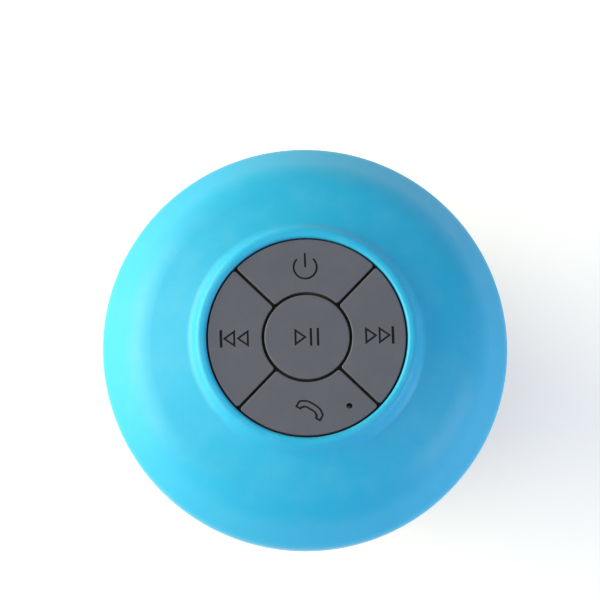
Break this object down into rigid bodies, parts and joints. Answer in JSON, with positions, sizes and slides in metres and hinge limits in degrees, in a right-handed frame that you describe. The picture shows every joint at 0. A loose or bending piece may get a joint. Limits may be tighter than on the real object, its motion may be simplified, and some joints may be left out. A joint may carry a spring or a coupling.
{
  "type": "shower speaker",
  "caption": "Round waterproof speaker with a ring of keys round a play key, sound slots at the back, a covered charging port and a suction cup that turns on its stud.",
  "frame": {"origin": "centre of the suction cup's lip plane, where the speaker stands or sticks", "axes": "+Z along the speaker's axis out of the keypad, +Y towards the power key, +X towards the next key"},
  "size_m": [0.086, 0.086, 0.0554],
  "materials": {
    "blue_soft_touch": "satin soft-touch coating over plastic",
    "bright_steel": "pressed sheet steel",
    "capacitor_tan": "ceramic body",
    "cell_foil": "laminated pouch",
    "chip_black": "moulded epoxy",
    "circuit_board": "solder mask over glass laminate",
    "cone_paper": "pressed paper",
    "copper": "enamelled copper wire",
    "cup_rubber": "smooth soft vinyl",
    "dark_plastic": "fine-grained moulded plastic",
    "foam": "closed-cell foam",
    "former_film": "polyimide film",
    "key_rubber": "matte silicone with dark inked icons",
    "led_lens": "clear epoxy",
    "magnet_steel": "nickel-plated magnet",
    "mesh_cloth": "woven acoustic mesh",
    "nylon": "natural nylon",
    "screw_steel": "zinc-plated steel",
    "seal_rubber": "matte silicone",
    "solder_tags": "tinned tags on a small card",
    "spider_cloth": "impregnated cloth",
    "stem_plastic": "smooth",
    "surround_rubber": "smooth thin rubber",
    "switch_plastic": "moulded",
    "web_rubber": "matte silicone",
    "wire_red": "insulated wire",
    "wire_white": "insulated wire"
  },
  "bodies": {
    "housing": {"amplifier_chip": "chip_black", "battery_cell": "cell_foil", "battery_connector": "nylon", "battery_protection_board": "circuit_board", "battery_tape": "foam", "battery_wires": "wire_red", "bluetooth_chip": "chip_black", "board_screws": "screw_steel", "capacitors": "capacitor_tan", "carrier_screws": "screw_steel", "charge_board": "circuit_board", "charge_board_screws": "screw_steel", "charge_chip": "chip_black", "charge_connector": "nylon", "charge_socket": "bright_steel", "charge_wires": "wire_white", "crystal": "bright_steel", "driver_basket": "bright_steel", "driver_gasket": "foam", "driver_screws": "screw_steel", "driver_terminals": "solder_tags", "front_pole_plate": "screw_steel", "front_shell": "blue_soft_touch", "grille_mesh": "mesh_cloth", "housing_screws": "screw_steel", "key_carrier": "dark_plastic", "keypad_web": "web_rubber", "magnet": "magnet_steel", "main_board": "circuit_board", "microphone": "bright_steel", "microphone_boot": "seal_rubber", "rear_shell": "dark_plastic", "rim_seal": "seal_rubber", "speaker_connector": "nylon", "speaker_wires": "wire_red", "spider": "spider_cloth", "status_led": "led_lens", "surround": "surround_rubber", "switch_bodies": "switch_plastic", "yoke": "screw_steel"},
    "power_button": {"power_key": "key_rubber", "power_switch_stem": "stem_plastic"},
    "previous_button": {"previous_key": "key_rubber", "previous_switch_stem": "stem_plastic"},
    "next_button": {"next_key": "key_rubber", "next_switch_stem": "stem_plastic"},
    "call_button": {"call_key": "key_rubber", "call_switch_stem": "stem_plastic"},
    "play_pause_button": {"play_pause_key": "key_rubber", "play_pause_switch_stem": "stem_plastic"},
    "cone_assembly": {"cone": "cone_paper", "dust_cap": "cone_paper", "voice_coil_former": "former_film", "voice_coil": "copper"},
    "cover": {"port_cover": "cup_rubber"},
    "cup": {"suction_cup": "cup_rubber", "cup_stud": "dark_plastic", "stud_clip": "screw_steel", "slip_washer": "nylon"}
  },
  "joints": [
    {"name": "power_press", "type": "slide", "parent": "housing", "child": "power_button", "axis": [0, 0, -1], "range_m": [0, 0.0004], "stiffness_N_per_m": 3000},
    {"name": "previous_press", "type": "slide", "parent": "housing", "child": "previous_button", "axis": [0, 0, -1], "range_m": [0, 0.0004], "stiffness_N_per_m": 3000},
    {"name": "next_press", "type": "slide", "parent": "housing", "child": "next_button", "axis": [0, 0, -1], "range_m": [0, 0.0004], "stiffness_N_per_m": 3000},
    {"name": "call_press", "type": "slide", "parent": "housing", "child": "call_button", "axis": [0, 0, -1], "range_m": [0, 0.0004], "stiffness_N_per_m": 3000},
    {"name": "play_pause_press", "type": "slide", "parent": "housing", "child": "play_pause_button", "axis": [0, 0, -1], "range_m": [0, 0.0004], "stiffness_N_per_m": 3000},
    {"name": "cone_excursion", "type": "slide", "parent": "housing", "child": "cone_assembly", "axis": [0, 0, 1], "range_m": [-0.0008, 0.0008], "stiffness_N_per_m": 1500, "deforming": ["surround", "spider"]},
    {"name": "cover_hinge", "type": "hinge", "parent": "housing", "child": "cover", "pos_m": [0, -0.0349, 0.0272], "axis": [1, 0, 0], "range_deg": [0, 90]},
    {"name": "cup_swivel", "type": "hinge", "parent": "housing", "child": "cup", "pos_m": [0, 0, 0.0175], "axis": [0, 0, 1], "continuous": true}
  ]
}
